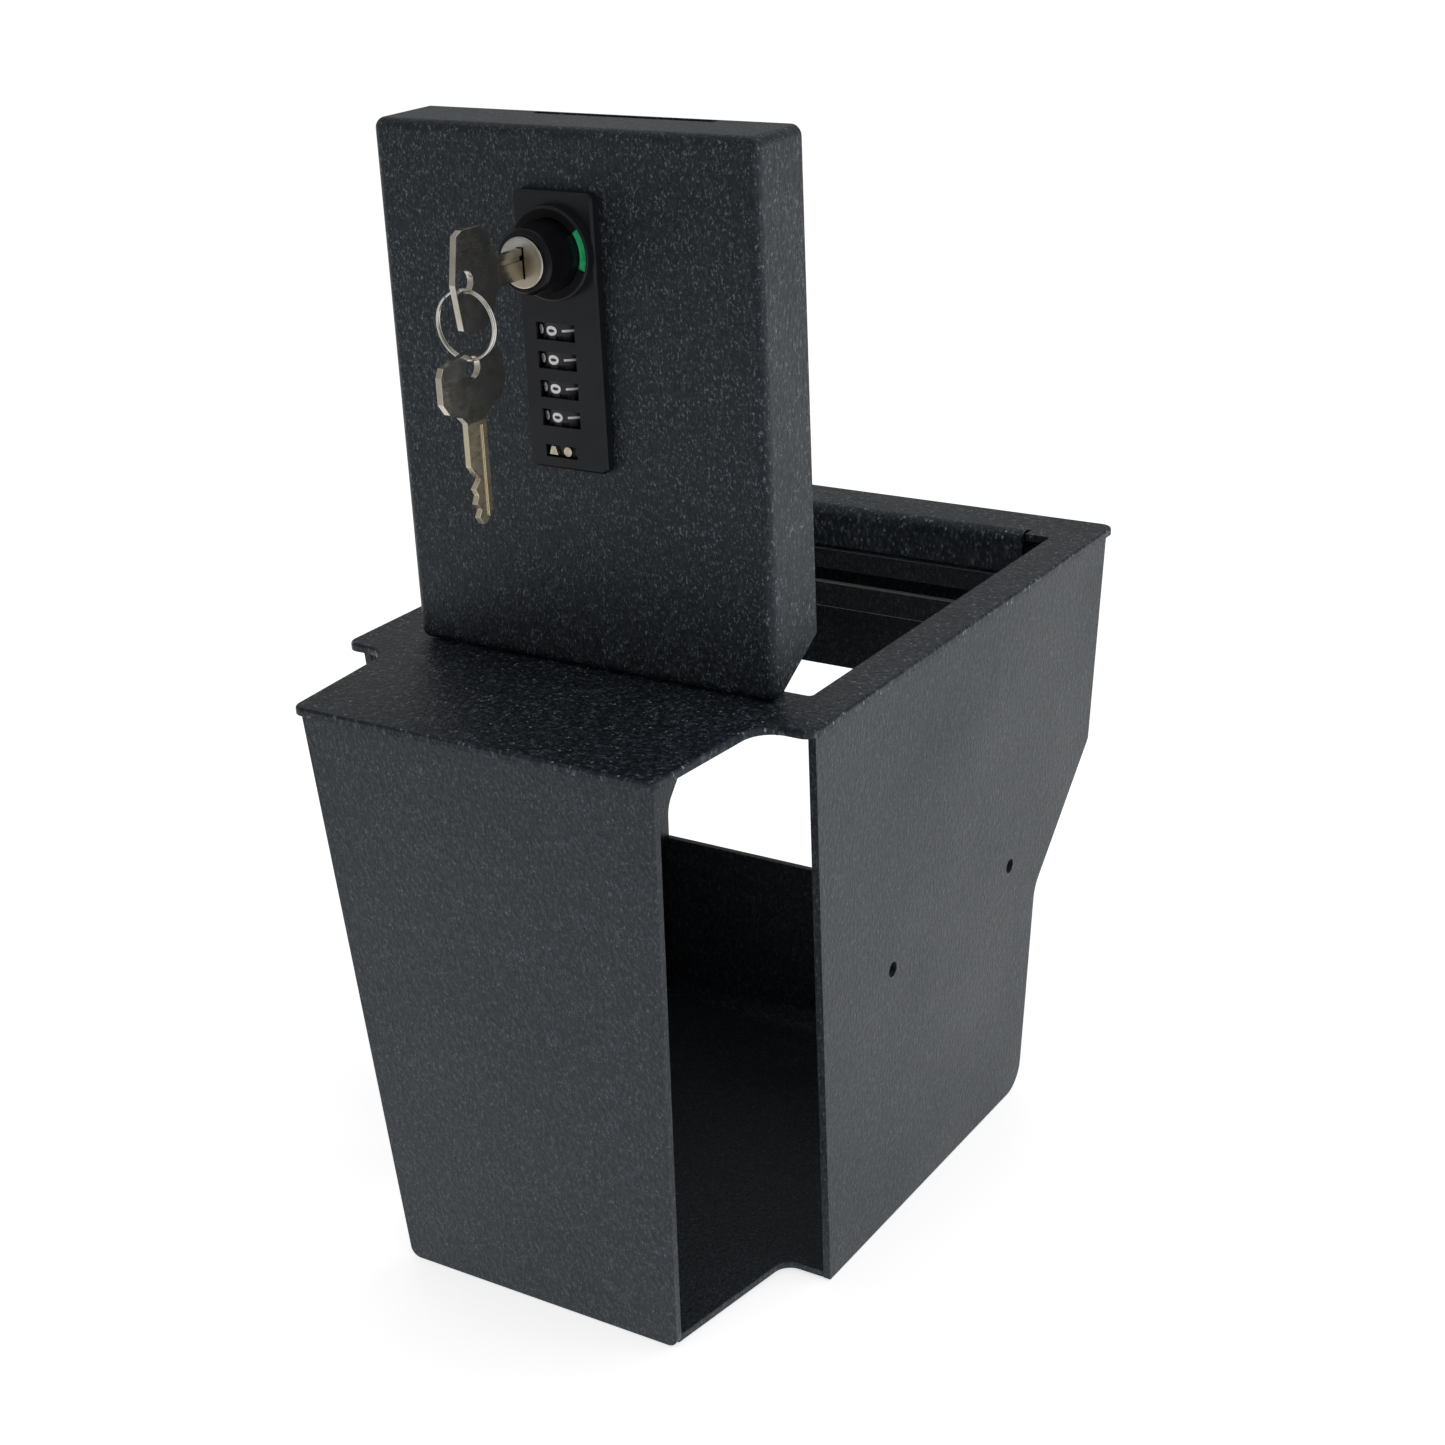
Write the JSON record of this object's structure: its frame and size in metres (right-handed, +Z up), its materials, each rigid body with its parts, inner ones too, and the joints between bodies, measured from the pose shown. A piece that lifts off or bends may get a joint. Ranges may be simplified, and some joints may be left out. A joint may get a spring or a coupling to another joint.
{
  "type": "cash box",
  "caption": "Narrow tapered steel cash box with a hinged lid, a keyed combination lock with a turning knob and cam, and two keys on a ring.",
  "frame": {"origin": "under the middle of the box: centre of its extents in X and Y, underside of the floor in Z", "axes": "+X to the box's right as seen from the front panel, +Y from the front panel to the rear wall, +Z up; the lid stands open"},
  "size_m": [0.1694, 0.2574, 0.3553],
  "materials": {
    "powder_coat": "black powder coat, fine texture",
    "lock_black": "satin black lacquer on a die casting",
    "zinc": "zinc plated steel",
    "casting": "bare zinc die casting",
    "nickel": "nickel plated brass, tumbled",
    "brass": "brass, rubbed",
    "dial_black": "black dial, white engraved digits",
    "green": "green status mark",
    "red": "red status mark",
    "spring_steel": "spring steel strip"
  },
  "bodies": {
    "box": {"top_plate": "powder_coat", "front_panel": "powder_coat", "side_panel_left": "powder_coat", "side_panel_right": "powder_coat", "floor_pan": "powder_coat", "rear_panel_upper": "powder_coat", "strike_plate": "powder_coat", "rest_tab_left": "powder_coat", "rest_tab_right": "powder_coat", "hinge_angle": "powder_coat", "hinge_leaf_fixed": "zinc", "hinge_pin": "zinc", "hinge_rivets_fixed": "zinc"},
    "lid": {"lid_shell": "powder_coat", "hinge_leaf_lid": "zinc", "hinge_rivets_lid": "zinc", "lock_faceplate": "lock_black", "lock_case": "casting", "lock_screws": "zinc", "dial_shaft": "zinc", "detent_spring": "spring_steel"},
    "knob_and_cam": {"knob": "lock_black", "spindle_barrel": "casting", "indicator_green": "green", "indicator_red": "red", "cam": "zinc", "cam_screw": "zinc"},
    "plug": {"key_plug": "nickel"},
    "bar": {"locking_bar": "zinc"},
    "slider": {"code_slider": "brass"},
    "key": {"key_in_lock": "nickel"},
    "ring": {"key_ring": "nickel"},
    "second_key": {"spare_key": "nickel"},
    "dial_1_wheel": {"dial_1": "dial_black"},
    "dial_2_wheel": {"dial_2": "dial_black"},
    "dial_3_wheel": {"dial_3": "dial_black"},
    "dial_4_wheel": {"dial_4": "dial_black"}
  },
  "joints": [
    {"name": "lid_hinge", "type": "hinge", "parent": "box", "child": "lid", "pos_m": [0, -0.0531, 0.1966], "axis": [-1, 0, 0], "range_deg": [0, 90]},
    {"name": "knob_turn", "type": "hinge", "parent": "lid", "child": "knob_and_cam", "pos_m": [0, 0, 0.3215], "axis": [0, 1, 0], "range_deg": [0, 90]},
    {"name": "key_turn", "type": "hinge", "parent": "knob_and_cam", "child": "plug", "pos_m": [0, 0, 0.3215], "axis": [0, 1, 0], "range_deg": [0, 90]},
    {"name": "key_pull", "type": "slide", "parent": "plug", "child": "key", "axis": [0, -1, 0], "range_m": [0, 0.05]},
    {"name": "ring_swing", "type": "hinge", "parent": "key", "child": "ring", "pos_m": [0, -0.1114, 0.3194], "axis": [1, 0, 0], "range_deg": [-60, 15]},
    {"name": "spare_key_swing", "type": "hinge", "parent": "ring", "child": "second_key", "pos_m": [0, -0.1114, 0.3006], "axis": [1, 0, 0], "range_deg": [-20, 20]},
    {"name": "bar_slide", "type": "slide", "parent": "lid", "child": "bar", "axis": [0, 0, 1], "range_m": [0, 0.0022]},
    {"name": "code_slide", "type": "slide", "parent": "lid", "child": "slider", "axis": [1, 0, 0], "range_m": [0, 0.0012]},
    {"name": "dial_1_spin", "type": "hinge", "parent": "lid", "child": "dial_1_wheel", "pos_m": [-0.0039, -0.0606, 0.29865], "axis": [0, 0, 1], "continuous": true},
    {"name": "dial_2_spin", "type": "hinge", "parent": "lid", "child": "dial_2_wheel", "pos_m": [-0.0039, -0.0606, 0.29022], "axis": [0, 0, 1], "continuous": true},
    {"name": "dial_3_spin", "type": "hinge", "parent": "lid", "child": "dial_3_wheel", "pos_m": [-0.0039, -0.0606, 0.28179], "axis": [0, 0, 1], "continuous": true},
    {"name": "dial_4_spin", "type": "hinge", "parent": "lid", "child": "dial_4_wheel", "pos_m": [-0.0039, -0.0606, 0.27336], "axis": [0, 0, 1], "continuous": true}
  ]
}
